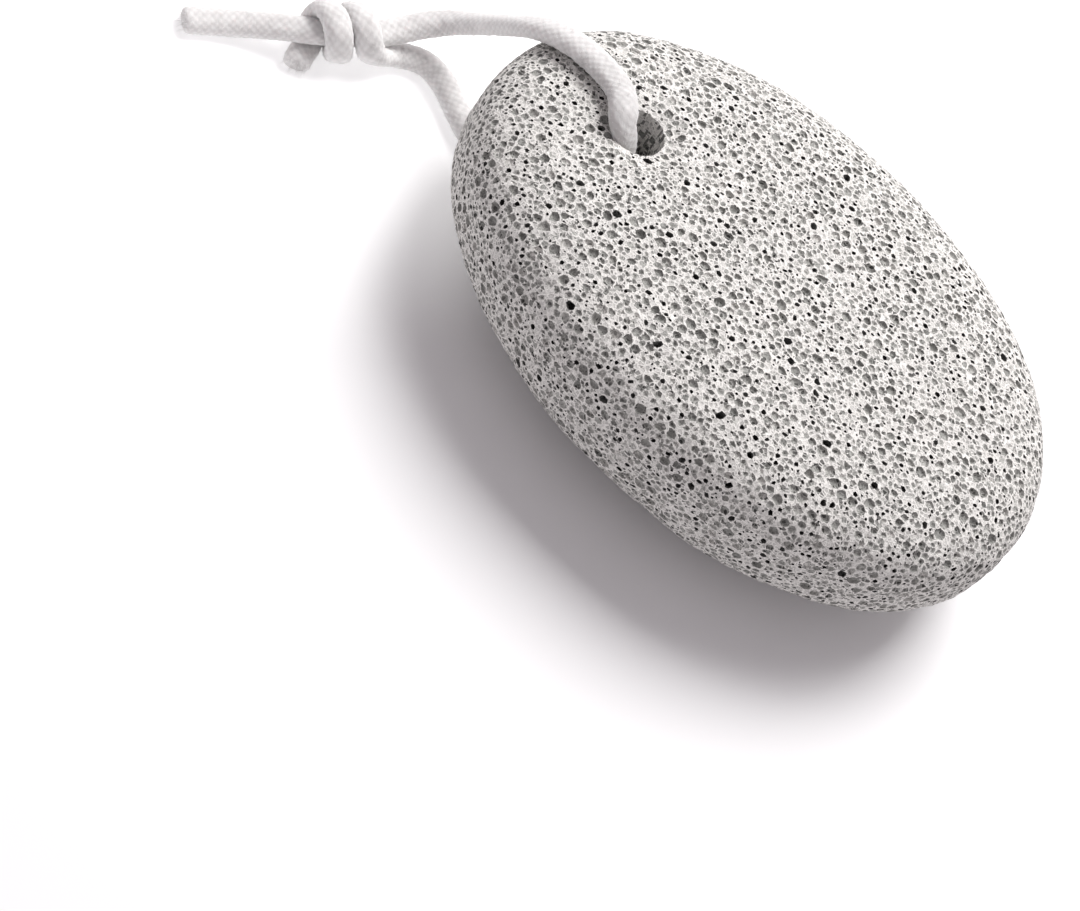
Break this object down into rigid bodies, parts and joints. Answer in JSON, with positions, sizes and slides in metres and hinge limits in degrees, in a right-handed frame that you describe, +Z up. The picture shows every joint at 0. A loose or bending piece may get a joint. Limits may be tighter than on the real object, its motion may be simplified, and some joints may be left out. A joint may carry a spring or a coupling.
{
  "type": "pumice stone",
  "caption": "Oval pumice foot stone with rounded sides and open pores all over, and a white braided cord knotted through the hole near one end.",
  "frame": {"origin": "bottom centre of the stone, on the surface it rests on", "axes": "+X along the stone, away from the end with the hole; +Y across it; +Z up, out of its upper face"},
  "size_m": [0.1406, 0.0674, 0.0336],
  "materials": {
    "pumice": "matt, open pores with bright thin rims",
    "braid": "soft white braid, slightly fuzzy"
  },
  "bodies": {
    "root": {"stone": "pumice", "cord_upper": "braid", "cord_lower": "braid"}
  },
  "joints": []
}
